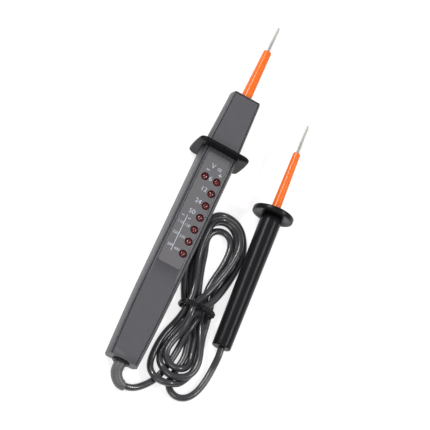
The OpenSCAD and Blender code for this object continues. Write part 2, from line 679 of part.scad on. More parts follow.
// The second probe: handle, round guard, sleeve and pin on one axis
module second_handle() {
    r = handle_d / 2;
    tail_r = handle_tail_d / 2;
    color(gloss_black) rotate([-90, 0, 0]) difference() {
        rotate_extrude() polygon(concat(
            [[0, -handle_l]],
            [for (a = [90 : -15 : 0]) [tail_r - rim_r + rim_r * cos(a), -handle_l + rim_r - rim_r * sin(a)]],
            [[r, -1.2], [r - 0.6, -slip], [second_sleeve_d / 2 + 2, -slip],
                [second_sleeve_d / 2 + 2, disc_t * 0.6], [0, disc_t * 0.6]]));
        translate([0, 0, disc_t - sleeve_in - slip])
            cylinder(d = second_sleeve_d + 2 * slip, h = sleeve_in + 5);
        translate([0, 0, disc_t - sleeve_in - shank_in - seat]) cylinder(r = shank_r + slip, h = sleeve_in);
        translate([0, 0, -ferrule_end]) cylinder(r = ferrule_r + slip, h = ferrule_l + seat);
    }
}
ferrule_r = 1.9;
ferrule_l = 12;
ferrule_end = sleeve_in - disc_t + shank_in + ferrule_l;
module second_ferrule() {
    color(brass) along_y(-ferrule_end + seat) cylinder(r = ferrule_r, h = ferrule_l - seat);
}
module second_guard() {
    r = disc_d / 2;
    hub = second_sleeve_d / 2 + 2 + slip;
    bore = second_sleeve_d / 2 + slip;
    ledge = disc_t * 0.6 + slip;
    rim = [for (a = [-90 : 15 : 90])
        [r - rim_r + rim_r * cos(a), (a < 0 ? rim_r : disc_t - rim_r) + rim_r * sin(a)]];
    color(gloss_black) rotate([-90, 0, 0]) rotate_extrude() polygon(concat(
        [[hub, 0]], rim, [[bore, disc_t], [bore, ledge], [hub, ledge]]));
}
module second_sleeve() {
    translate([0, disc_t, 0]) probe_sleeve(second_sleeve_l, second_sleeve_d / 2, second_sleeve_top / 2, 0.5);
}
module second_pin() {
    translate([0, disc_t, 0]) probe_pin([second_sleeve_l, second_pin_l]);
}

in_main() rear_shell();
in_main() front_shell();
in_main() finger_guard();
in_main() circuit_board();
in_main() lamp(lamp_count);  // lamp_minus
in_main() lamp(0);  // lamp_1
in_main() lamp(1);  // lamp_2
in_main() lamp(2);  // lamp_3
in_main() lamp(3);  // lamp_4
in_main() lamp(4);  // lamp_5
in_main() lamp(5);  // lamp_6
in_main() lamp(6);  // lamp_7
in_main() resistors();
in_main() diodes();
in_main() current_limiter();
in_main() probe_contact();
in_main() core_wire();
in_main() case_screws();
in_main() main_pin();
in_main() main_sleeve();
in_main() tail_collar();
strain_relief();
lead_in();
lead_hank();
lead_out();
twist_tie();
in_second() second_handle();
in_second() second_guard();
in_second() second_sleeve();
in_second() second_pin();
in_second() second_ferrule();
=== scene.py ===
"""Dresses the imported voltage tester: finishes, legends, the wound lead and its tie.

The frame holds every rigid piece at its real size. This script adds the lead as it is wound, the
twist tie, the strain relief and the print on the legend panel, and gives each piece its finish.
Lengths in the classes are millimetres unless they are said to be metres, and become metres where a
mesh is made.
"""

import json
import logging
import math
from dataclasses import dataclass, field
from enum import Enum

import bmesh
import bpy
import numpy as np
from mathutils import Matrix, Vector


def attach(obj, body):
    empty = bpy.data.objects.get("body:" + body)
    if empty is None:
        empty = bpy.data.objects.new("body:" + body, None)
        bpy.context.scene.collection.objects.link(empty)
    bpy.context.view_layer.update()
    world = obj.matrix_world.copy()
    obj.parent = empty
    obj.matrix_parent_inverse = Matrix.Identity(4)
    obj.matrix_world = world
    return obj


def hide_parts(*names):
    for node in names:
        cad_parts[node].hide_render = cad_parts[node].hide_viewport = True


MM = 0.001
ROOT = "root"
LOG = logging.getLogger("tester")
WHITE = (1.0, 1.0, 1.0, 1.0)

# How finely the noises of a finish are broken up, and how its bevel is sampled.
PATCH_DETAIL = 4.0
SHEEN_DETAIL = 6.0
GRAIN_DETAIL = 2.0
SHEEN_SHARE = 0.4
BEVEL_SAMPLES = 6

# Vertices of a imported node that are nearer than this, in millimetres, are one.
MERGE_DISTANCE = 0.002
# The points that a smooth line gets between two points of its route.
SPAN_POINTS = 12
# Keeps a point's distance to itself from being a divisor of 0.
NEVER_ZERO = 1e-9

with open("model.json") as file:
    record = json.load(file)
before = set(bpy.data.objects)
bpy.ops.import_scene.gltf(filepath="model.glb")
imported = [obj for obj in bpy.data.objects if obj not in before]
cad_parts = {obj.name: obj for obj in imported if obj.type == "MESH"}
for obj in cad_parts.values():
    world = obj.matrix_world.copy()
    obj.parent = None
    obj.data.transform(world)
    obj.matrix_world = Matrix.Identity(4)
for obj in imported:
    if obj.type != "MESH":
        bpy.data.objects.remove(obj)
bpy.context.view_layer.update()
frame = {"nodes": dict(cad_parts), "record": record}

Point = tuple[float, float, float]


class Shade(Enum):
    """The colours of the object's materials, as linear light."""

    HOUSING = (0.094, 0.091, 0.101)
    PANEL = (0.146, 0.141, 0.147)
    BLACK = (0.011, 0.011, 0.013)
    SATIN_BLACK = (0.014, 0.014, 0.016)
    RELIEF = (0.115, 0.113, 0.118)
    JACKET = (0.034, 0.033, 0.038)
    ORANGE = (0.94, 0.165, 0.004)
    STEEL = (0.92, 0.91, 0.87)
    BRASS = (0.72, 0.50, 0.18)
    LAMP = (0.115, 0.004, 0.006)
    INK = (0.56, 0.58, 0.66)
    BOARD = (0.012, 0.085, 0.035)
    LACQUER = (0.52, 0.42, 0.22)
    DIODE = (0.02, 0.017, 0.015)
    LIMITER = (0.03, 0.10, 0.32)
    CORE = (0.55, 0.03, 0.02)


class Way(Enum):
    """The sense in which the lead runs round an end loop of the hank, seen from above."""

    CLOCKWISE = -1
    ANTICLOCKWISE = 1


@dataclass(frozen=True)
class Finish:
    """A surface finish: a colour with mottling, a varied sheen and a fine grain.

    Attributes:
        name: The material's name.
        shade: Its colour.
        roughness: Its mean roughness.
        spread: How far the roughness varies on each side of the mean.
        mottle: How much darker the dark patches are, from 0 to 1.
        patch_mm: The size of a patch.
        grain_mm: The size of a grain.
        grain_depth_mm: The depth of the grain.
        edge_mm: The radius that rounds the look of an edge.
        metallic: 1 for bare metal.
        coat: The weight of a clear top layer.
        specular: The specular level, 0.5 for most plastics.
        coat_roughness: The roughness of the clear top layer.
        grain_strength: How strongly the grain bends the light.
    """

    name: str
    shade: Shade
    roughness: float = 0.45
    spread: float = 0.06
    mottle: float = 0.10
    patch_mm: float = 6.0
    grain_mm: float = 0.35
    grain_depth_mm: float = 0.006
    edge_mm: float = 0.22
    metallic: float = 0.0
    coat: float = 0.0
    specular: float = 0.5
    coat_roughness: float = 0.12
    grain_strength: float = 0.6

    def material(self) -> bpy.types.Material:
        """Make the material, once.

        Returns:
            The material with this finish's name.
        """
        found = bpy.data.materials.get(self.name)
        if found:
            return found
        made = bpy.data.materials.new(self.name)
        made.use_nodes = True
        tree = made.node_tree
        surface = tree.nodes["Principled BSDF"]
        surface.inputs["Metallic"].default_value = self.metallic
        surface.inputs["Coat Weight"].default_value = self.coat
        surface.inputs["Coat Roughness"].default_value = self.coat_roughness
        surface.inputs["Specular IOR Level"].default_value = self.specular
        place = tree.nodes.new("ShaderNodeTexCoord").outputs["Object"]
        patches = self._noise(tree, place, self.patch_mm, PATCH_DETAIL)
        colour = tree.nodes.new("ShaderNodeMix")
        colour.data_type = "RGBA"
        tree.links.new(patches, colour.inputs["Factor"])
        dark = [c * (1.0 - self.mottle) for c in self.shade.value]
        light = [min(1.0, c * (1.0 + self.mottle)) for c in self.shade.value]
        colour.inputs["A"].default_value = (*dark, 1.0)
        colour.inputs["B"].default_value = (*light, 1.0)
        tree.links.new(colour.outputs["Result"], surface.inputs["Base Color"])
        sheen = tree.nodes.new("ShaderNodeMapRange")
        streaks = self._noise(tree, place, self.patch_mm * SHEEN_SHARE, SHEEN_DETAIL)
        tree.links.new(streaks, sheen.inputs["Value"])
        sheen.inputs["To Min"].default_value = self.roughness - self.spread
        sheen.inputs["To Max"].default_value = self.roughness + self.spread
        tree.links.new(sheen.outputs["Result"], surface.inputs["Roughness"])
        self._relief(tree, place, surface)
        self._details(surface)
        return made

    def _noise(self, tree: bpy.types.NodeTree, place: bpy.types.NodeSocket, size_mm: float,
               detail: float) -> bpy.types.NodeSocket:
        """Add a noise of a given size.

        Args:
            tree: The material's node tree.
            place: The coordinates.
            size_mm: The size of a blob.
            detail: The number of octaves.

        Returns:
            The noise's factor.
        """
        noise = tree.nodes.new("ShaderNodeTexNoise")
        noise.inputs["Scale"].default_value = 1.0 / (size_mm * MM)
        noise.inputs["Detail"].default_value = detail
        tree.links.new(place, noise.inputs["Vector"])
        return noise.outputs["Fac"]

    def _relief(self, tree: bpy.types.NodeTree, place: bpy.types.NodeSocket,
                surface: bpy.types.Node) -> None:
        """Add the grain, and round the look of the edges.

        Args:
            tree: The material's node tree.
            place: The coordinates.
            surface: The surface shader.
        """
        edge = tree.nodes.new("ShaderNodeBevel")
        edge.samples = BEVEL_SAMPLES
        edge.inputs["Radius"].default_value = self.edge_mm * MM
        bump = tree.nodes.new("ShaderNodeBump")
        bump.inputs["Strength"].default_value = self.grain_strength
        bump.inputs["Distance"].default_value = self.grain_depth_mm * MM
        tree.links.new(self._noise(tree, place, self.grain_mm, GRAIN_DETAIL), bump.inputs["Height"])
        tree.links.new(edge.outputs["Normal"], bump.inputs["Normal"])
        tree.links.new(bump.outputs["Normal"], surface.inputs["Normal"])

    def _details(self, surface: bpy.types.Node) -> None:
        """Add nothing to a plain finish. Other kinds add what only they have."""


@dataclass(frozen=True)
class ClearFinish(Finish):
    """The finish of a coloured plastic that takes some light into its body.

    Attributes:
        inner: How much of the light goes in, from 0 to 1.
        spans: How far red, green and blue go, as shares of the depth.
        depth_mm: The depth that the light reaches.
    """

    inner: float = 0.12
    spans: Point = (1.0, 0.35, 0.1)
    depth_mm: float = 0.8

    def _details(self, surface: bpy.types.Node) -> None:
        """Let light into the plastic.

        Args:
            surface: The surface shader.
        """
        surface.inputs["Subsurface Weight"].default_value = self.inner
        surface.inputs["Subsurface Radius"].default_value = self.spans
        surface.inputs["Subsurface Scale"].default_value = self.depth_mm * MM


HOUSING = Finish("housing_grey", Shade.HOUSING, roughness=0.42, mottle=0.07, grain_depth_mm=0.010)
PANEL = Finish("legend_foil", Shade.PANEL, roughness=0.38, mottle=0.05, grain_mm=0.25)
GUARD = Finish("guard_black", Shade.BLACK, roughness=0.24, spread=0.02, specular=0.08, grain_mm=1.2,
               grain_depth_mm=0.004, edge_mm=0.3)
HANDLE = Finish("handle_black", Shade.BLACK, roughness=0.30, spread=0.02, specular=0.15, grain_mm=1.6,
                grain_depth_mm=0.001, edge_mm=0.25)
COLLAR = Finish("collar_black", Shade.SATIN_BLACK, roughness=0.34, specular=0.25)
RELIEF = Finish("relief_grey", Shade.RELIEF, roughness=0.40, mottle=0.06, edge_mm=0.4)
JACKET = Finish("lead_jacket", Shade.JACKET, roughness=0.30, spread=0.01, coat=0.6, grain_mm=2.2,
                grain_depth_mm=0.0004)
TIE = Finish("tie_black", Shade.SATIN_BLACK, roughness=0.30, specular=0.16)
SLEEVE = ClearFinish("sleeve_orange", Shade.ORANGE, roughness=0.28, mottle=0.05)
STEEL = Finish("pin_steel", Shade.STEEL, roughness=0.30, metallic=0.7, grain_mm=0.2, mottle=0.06)
BRASS = Finish("contact_brass", Shade.BRASS, roughness=0.3, metallic=1.0)
LAMP = ClearFinish("lamp_red", Shade.LAMP, roughness=0.10, spread=0.03, coat=0.9, mottle=0.2,
                   patch_mm=1.5, inner=0.35, spans=(1.0, 0.15, 0.1), depth_mm=1.2)
INK = Finish("legend_ink", Shade.INK, roughness=0.5, mottle=0.08, patch_mm=0.6, edge_mm=0.02)
BOARD = Finish("board_green", Shade.BOARD, roughness=0.4)
LACQUER = Finish("resistor_lacquer", Shade.LACQUER, roughness=0.35)
DIODE = Finish("diode_black", Shade.DIODE, roughness=0.35)
LIMITER = Finish("limiter_blue", Shade.LIMITER, roughness=0.3)
CORE = Finish("core_red", Shade.CORE, roughness=0.4)


def placed(name: str, data: bpy.types.ID) -> bpy.types.Object:
    """Make an object and link it to the scene.

    Args:
        name: The object's name.
        data: Its mesh, curve, camera or light.

    Returns:
        The object.
    """
    made = bpy.data.objects.new(name, data)
    bpy.context.scene.collection.objects.link(made)
    return made


def dress(piece: bpy.types.Object, finish: Finish) -> None:
    """Give a piece one finish.

    Args:
        piece: The piece.
        finish: Its finish.
    """
    piece.data.materials.clear()
    piece.data.materials.append(finish.material())


def add_piece(name: str, shape: bmesh.types.BMesh, finish: Finish,
              smooth_deg: float = 40.0) -> bpy.types.Object:
    """Make an object that rides on the tester from a finished bmesh.

    Args:
        name: The piece's name.
        shape: Its bmesh, in metres in the row frame, which is freed.
        finish: Its finish.
        smooth_deg: Faces that meet at less than this angle are shaded as one surface.

    Returns:
        The object.
    """
    mesh = bpy.data.meshes.new(name)
    shape.normal_update()
    shape.to_mesh(mesh)
    shape.free()
    piece = placed(name, mesh)
    mesh.shade_smooth()
    mesh.set_sharp_from_angle(angle=math.radians(smooth_deg))
    dress(piece, finish)
    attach(piece, ROOT)
    LOG.info("%s made", name)
    return piece


def dressed_copy(node: str, finish: Finish, smooth_deg: float = 30.0) -> bpy.types.Object:
    """Stand a smooth-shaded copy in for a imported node, with the same shape.

    Args:
        node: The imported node.
        finish: The copy's finish.
        smooth_deg: Faces that meet at less than this angle are shaded as one surface.

    Returns:
        The copy.
    """
    shape = bmesh.new()
    shape.from_mesh(frame["nodes"][node].data)
    bmesh.ops.remove_doubles(shape, verts=shape.verts, dist=MERGE_DISTANCE * MM)
    piece = add_piece(node + "_dressed", shape, finish, smooth_deg)
    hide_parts(node)
    LOG.info("%s stands for %s", piece.name, node)
    return piece


def swept(points: np.ndarray, radii: np.ndarray, sides: int) -> bmesh.types.BMesh:
    """Sweep a circle along a line, and close both ends.

    Args:
        points: The line, in millimetres.
        radii: The radius at each point, in millimetres.
        sides: The number of sides.

    Returns:
        The tube, in metres.
    """
    shape = bmesh.new()
    rings = []
    side = Vector((0.0, 0.0, 1.0))
    for i, point in enumerate(points):
        ahead = points[min(i + 1, len(points) - 1)]
        behind = points[max(i - 1, 0)]
        along = Vector(ahead - behind).normalized()
        side = (side - along * side.dot(along)).normalized()
        turn = Matrix((side, along.cross(side), along)).transposed().to_4x4()
        made = bmesh.ops.create_circle(shape, segments=sides, radius=radii[i] * MM,
                                       matrix=Matrix.Translation(Vector(point) * MM) @ turn)
        rings.append({e for v in made["verts"] for e in v.link_edges})
    for first, second in zip(rings, rings[1:]):
        bmesh.ops.bridge_loops(shape, edges=list(first | second))
    for ring in (rings[0], rings[-1]):
        bmesh.ops.contextual_create(shape, geom=list(ring))
    bmesh.ops.recalc_face_normals(shape, faces=shape.faces)
    return shape


def smooth_line(points: np.ndarray, step: float) -> np.ndarray:
    """Run a smooth curve through points, at an even step.

    Args:
        points: The points, in millimetres.
        step: The distance between two points of the result.

    Returns:
        The points along the curve.
    """
    line = []
    last = len(points) - 1
    for i in range(last):
        a, b, c, d = points[max(0, i - 1)], points[i], points[i + 1], points[min(last, i + 2)]
        for t in np.linspace(0.0, 1.0, SPAN_POINTS, endpoint=False):
            line.append(0.5 * (2 * b + (c - a) * t + (2 * a - 5 * b + 4 * c - d) * t ** 2
                               + (3 * b - a - 3 * c + d) * t ** 3))
    line.append(points[last])
    line = np.array(line)
    run = np.concatenate([[0.0], np.cumsum(np.linalg.norm(np.diff(line, axis=0), axis=1))])
    marks = np.linspace(0.0, run[-1], int(round(run[-1] / step)) + 1)
    return np.stack([np.interp(marks, run, line[:, k]) for k in range(3)], axis=1)


@dataclass
class ProbeFrame:
    """Where a probe lies: its own X across, Y towards its tip and Z out of its front.

    Attributes:
        mount: The record's mount on the bare pin.
        reach: The distance along the probe from its origin to the foot of the pin's point, in millimetres.
    """

    mount: str
    reach: float

    def matrix(self) -> Matrix:
        """Work out the probe's place from the record.

        Returns:
            The matrix from the probe's frame, in metres, to the row frame.
        """
        found = next(m for m in frame["record"]["mounts"] if m["name"] == self.mount)
        along = Vector(found["axis"]).normalized()
        across = Vector((1.0, 0.0, 0.0))
        out = across.cross(along)
        turn = Matrix((across, along, out)).transposed().to_4x4()
        back = self.reach - found["dims"]["length_mm"] / 2
        return Matrix.Translation(Vector(found["pos_m"]) - along * back * MM) @ turn


@dataclass
class StudioCamera:
    """The camera at the photograph's place.

    Attributes:
        azimuth: Its bearing, in degrees, from the front towards +X.
        elevation: Its height angle, in degrees.
        roll: How far it is turned about its own line of sight, in degrees.
        distance: Its distance from the target, in millimetres.
        target: The point that it looks at, in millimetres.
        focal_px: Its focal length, in picture elements.
        picture_px: The picture's width.
        sensor: The sensor's width, in millimetres.
        sight: How far it sees, in metres.
    """

    azimuth: float = -20.26
    elevation: float = 64.41
    roll: float = 46.82
    distance: float = 1400.0
    target: Point = (-5.65, -4.36, 0.0)
    focal_px: float = 2153.85
    picture_px: float = 430.0
    sensor: float = 36.0
    sight: float = 10.0

    def build(self) -> None:
        """Make the camera and set it as the scene's."""
        a, e, r = (math.radians(v) for v in (self.azimuth, self.elevation, self.roll))
        back = Vector((math.sin(a) * math.cos(e), -math.cos(a) * math.cos(e), math.sin(e)))
        level = (-back).cross(Vector((0.0, 0.0, 1.0))).normalized()
        upright = level.cross(-back)
        right = math.cos(r) * level + math.sin(r) * upright
        up = math.cos(r) * upright - math.sin(r) * level
        data = bpy.data.cameras.new("camera")
        data.sensor_width = self.sensor
        data.lens = self.focal_px / self.picture_px * self.sensor
        data.clip_end = self.sight
        camera = placed("camera", data)
        place = Vector(self.target) * MM + back * self.distance * MM
        camera.matrix_world = Matrix.Translation(place) @ Matrix((right, up, back)).transposed().to_4x4()
        bpy.context.scene.camera = camera
        LOG.info("camera placed")


@dataclass(frozen=True)
class Bight:
    """One end loop of the hank, a part of an ellipse, and the way from it to the next one.

    Attributes:
        middle: The ellipse's centre, in millimetres.
        half: Its half width and half height.
        heights: The height of the strand where the loop starts, at its far end, and where it ends.
        first_deg: The angle where it starts.
        way: The sense in which it runs.
        tilt_deg: How far the ellipse leans to the left.
        onward: The points from its end to the next loop, through the waist.
        sweep_deg: The angle that it covers.
        count: The number of points along it.
    """

    middle: tuple[float, float]
    half: tuple[float, float]
    heights: Point
    first_deg: float
    way: Way
    tilt_deg: float
    onward: tuple[Point, ...]
    sweep_deg: float = 212.0
    count: int = 14

    def points(self) -> list[Point]:
        """Follow the loop, and then the way onward.

        Returns:
            The points, in millimetres.
        """
        low, far, high = self.heights
        bend = 2.0 * far - (low + high) / 2.0
        lean = math.radians(self.tilt_deg)
        points = []
        for t in np.linspace(0.0, 1.0, self.count):
            angle = math.radians(self.first_deg + self.way.value * self.sweep_deg * t)
            across, along = self.half[0] * math.cos(angle), self.half[1] * math.sin(angle)
            points.append((self.middle[0] + across * math.cos(lean) - along * math.sin(lean),
                           self.middle[1] + across * math.sin(lean) + along * math.cos(lean),
                           (1 - t) ** 2 * low + 2 * t * (1 - t) * bend + t ** 2 * high))
        return points + list(self.onward)


@dataclass
class Lead:
    """The lead between the probes, wound in a hank that crosses itself at its tied waist.

    Attributes:
        diameter: Its outer diameter.
        start: The way from the strain relief to the hank.
        first_leg: Its first way up through the waist, mostly on the table.
        winding: The loops of the hank, each with its way to the next.
        end: The way from the hank to the second handle.
        step: The distance between two points of the line while it settles.
        fine_step: The distance between two points of the finished line.
        smoothness: The curve's bevel resolution.
        room: The gap that two strands are pushed apart to.
        reach: How many diameters along the line a point counts as the same strand.
        rounds: The rounds of settling.
        pushes: How many times the strands are pushed apart in a round.
        stiffness: The share of the bending that each round takes out.
        hold: The share of its way back to its route that a point goes in a round.
        sink: How far a point sinks in a round.
        fixed: How many points at each end stay in place.
    """

    diameter: float = 4.5
    start: tuple[Point, ...] = (
        (-14.8, -138.35, 4.4), (-13.79, -138.18, 4.25), (-10.2, -137.4, 3.5), (-6.6, -135.0, 2.5),
        (-2.5, -131.0, 2.25), (0.3, -127.3, 2.25))
    first_leg: tuple[Point, ...] = (
        (2.4, -123.2, 2.3), (4.4, -117.3, 2.3), (6.3, -110.5, 2.3), (7.7, -104.0, 2.3), (8.5, -97.0, 2.3),
        (8.8, -90.0, 3.0), (8.8, -84.0, 5.0), (8.6, -78.0, 4.6), (7.9, -71.3, 2.5), (6.6, -64.5, 2.3),
        (4.9, -58.5, 2.3), (2.1, -48.8, 2.3), (-0.7, -39.0, 2.3))
    winding: tuple[Bight, ...] = (
        Bight((4.4, -22.7), (9.2, 9.6), (2.3, 2.3, 2.3), 192.0, Way.CLOCKWISE, 12.0, (
            (12.6, -37.0, 2.3), (10.8, -44.2, 2.3), (9.9, -51.5, 2.3), (10.6, -59.0, 2.3), (12.0, -65.5, 2.3),
            (12.4, -71.3, 2.3), (14.4, -77.3, 4.4), (16.9, -84.0, 6.4), (20.2, -92.0, 6.8))),
        Bight((10.7, -105.3), (12.4, 14.6), (6.8, 6.9, 6.6), 16.0, Way.CLOCKWISE, 0.0, (
            (-0.7, -97.0, 6.5), (1.3, -90.6, 6.6), (4.0, -83.9, 6.8), (6.8, -78.0, 7.1), (10.3, -71.5, 7.1),
            (13.4, -66.0, 7.0), (15.6, -60.5, 6.8), (17.3, -52.4, 6.6), (18.7, -45.0, 5.6),
            (20.0, -37.0, 4.2))),
        Bight((6.3, -24.3), (14.4, 21.8), (3.6, 4.2, 6.4), -16.0, Way.ANTICLOCKWISE, 12.0, (
            (-6.8, -38.0, 4.4), (-5.0, -46.0, 2.4), (-2.4, -54.5, 2.3), (1.0, -62.0, 2.3), (4.6, -68.5, 2.3),
            (8.2, -74.5, 2.3), (11.4, -80.0, 2.3), (14.0, -86.0, 2.3), (15.9, -92.0, 3.0),
            (17.2, -98.0, 4.4))),
        Bight((9.6, -103.9), (9.3, 9.5), (7.6, 10.2, 9.2), 18.0, Way.CLOCKWISE, 0.0, (
            (2.2, -97.5, 8.4), (4.0, -92.0, 8.8), (5.6, -86.5, 9.8), (6.2, -81.0, 10.2), (6.1, -76.0, 9.0),
            (6.1, -71.3, 7.0), (7.6, -65.5, 6.9), (9.4, -59.6, 6.9), (11.7, -52.6, 6.6), (14.0, -45.3, 6.4),
            (15.9, -37.5, 6.4))),
        Bight((4.6, -22.5), (12.6, 15.9), (6.5, 6.6, 8.6), -14.0, Way.ANTICLOCKWISE, 10.0, (
            (-6.6, -34.5, 7.6), (-3.9, -44.9, 6.2), (-0.8, -54.6, 6.4), (1.1, -62.0, 6.6), (1.6, -68.0, 6.9),
            (1.5, -74.0, 6.6), (0.8, -80.0, 5.6), (-0.7, -86.5, 4.2), (-2.9, -93.5, 2.9))),
        Bight((9.2, -107.0), (13.0, 19.2), (2.9, 7.0, 2.3), 180.0, Way.ANTICLOCKWISE, -23.0, (
            (20.4, -92.5, 2.3), (18.0, -84.5, 2.3), (16.6, -77.5, 2.3), (16.0, -71.3, 2.3),
            (15.8, -65.0, 2.3), (15.8, -58.0, 2.3), (15.6, -50.5, 2.3), (16.4, -43.5, 2.3),
            (17.0, -36.5, 2.3))),
        Bight((4.2, -23.0), (13.0, 17.2), (2.3, 2.3, 2.3), -16.0, Way.ANTICLOCKWISE, 12.0, (
            (-9.0, -44.0, 2.3), (-7.4, -52.5, 2.3), (-4.3, -60.4, 2.3), (-0.4, -67.5, 2.3), (3.6, -73.5, 2.3),
            (7.6, -78.5, 2.3), (11.0, -84.6, 2.3), (13.0, -91.1, 2.3), (14.2, -97.8, 2.3),
            (14.5, -103.5, 2.3), (13.6, -109.5, 2.3), (12.4, -114.8, 2.3), (11.9, -119.4, 2.3))))
    end: tuple[Point, ...] = (
        (12.4, -122.8, 2.25), (13.8, -125.4, 2.25), (16.1, -127.3, 2.25), (18.9, -128.3, 2.25),
        (22.0, -128.2, 2.25), (25.4, -126.4, 2.25), (29.2, -121.0, 2.25), (32.0, -112.0, 2.3),
        (33.2, -102.8, 3.1), (33.4, -94.3, 4.8), (32.6, -86.5, 6.05))
    step: float = 3.0
    fine_step: float = 1.0
    smoothness: int = 6
    room: float = 0.12
    reach: float = 2.2
    rounds: int = 260
    quick_rounds: int = 60
    pushes: int = 2
    stiffness: float = 0.45
    hold: float = 0.02
    sink: float = 0.02
    fixed: int = 3

    def route(self) -> np.ndarray:
        """Wind the lead, one loop after another.

        Returns:
            The points of the whole lead, in millimetres.
        """
        points = list(self.start + self.first_leg)
        for bight in self.winding:
            points += bight.points()
        return np.array(points + list(self.end))

    def _bend(self, line: np.ndarray) -> np.ndarray:
        """Find how far each inner point lies from the middle of its two neighbours.

        Args:
            line: The points.

        Returns:
            The way from each point to that middle, and 0 at both ends.
        """
        bend = np.zeros_like(line)
        bend[1:-1] = (line[:-2] + line[2:]) / 2 - line[1:-1]
        return bend

    def _pushed(self, line: np.ndarray, same: np.ndarray) -> np.ndarray:
        """Push apart strands that are too close, each by half, and lift them onto the table.

        Args:
            line: The points.
            same: Which pairs of points are on the same strand.

        Returns:
            The points after one push.
        """
        apart = line[:, None, :] - line[None, :, :]
        gap = np.sqrt((apart ** 2).sum(-1)) + NEVER_ZERO
        over = np.clip(self.diameter + self.room - gap, 0.0, None)
        over[same] = 0.0
        push = (apart / gap[..., None] * over[..., None] * 0.5).sum(1)
        touching = np.maximum((over > 0).sum(1), 1)[:, None]
        line = line + push / touching
        line[:, 2] = np.maximum(line[:, 2], self.diameter / 2)
        return line

    def settled(self) -> np.ndarray:
        """Let the wound lead lie: it stays off the table and off itself, and keeps its smooth bends.

        Returns:
            The points of the lead at rest, in millimetres.
        """
        line = smooth_line(self.route(), self.step)
        home = line.copy()
        order = np.arange(len(line))
        same = np.abs(order[:, None] - order[None, :]) <= int(self.reach * self.diameter / self.step)
        for _ in range(self.rounds):
            line = line - self.stiffness * self._bend(self._bend(line))
            line[:, :2] += self.hold * (home[:, :2] - line[:, :2])
            line[:, 2] -= self.sink
            for _ in range(self.pushes):
                line = self._pushed(line, same)
            line[:self.fixed] = home[:self.fixed]
            line[-self.fixed:] = home[-self.fixed:]
        return line

    def build(self) -> tuple[bpy.types.Object, np.ndarray]:
        """Make the lead as one curve.

        Returns:
            The curve, and its points in millimetres.
        """
        line = smooth_line(self.settled(), self.fine_step)
        data = bpy.data.curves.new("lead", "CURVE")
        data.dimensions = "3D"
        data.bevel_depth = self.diameter / 2 * MM
        data.bevel_resolution = self.smoothness
        data.use_fill_caps = True
        spline = data.splines.new("POLY")
        spline.points.add(len(line) - 1)
        for point, place in zip(spline.points, line):
            point.co = (*(place * MM), 1.0)
        spline.use_smooth = True
        piece = placed("lead", data)
        dress(piece, JACKET)
        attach(piece, ROOT)
        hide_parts("lead_in", "lead_hank", "lead_out")
        return piece, line


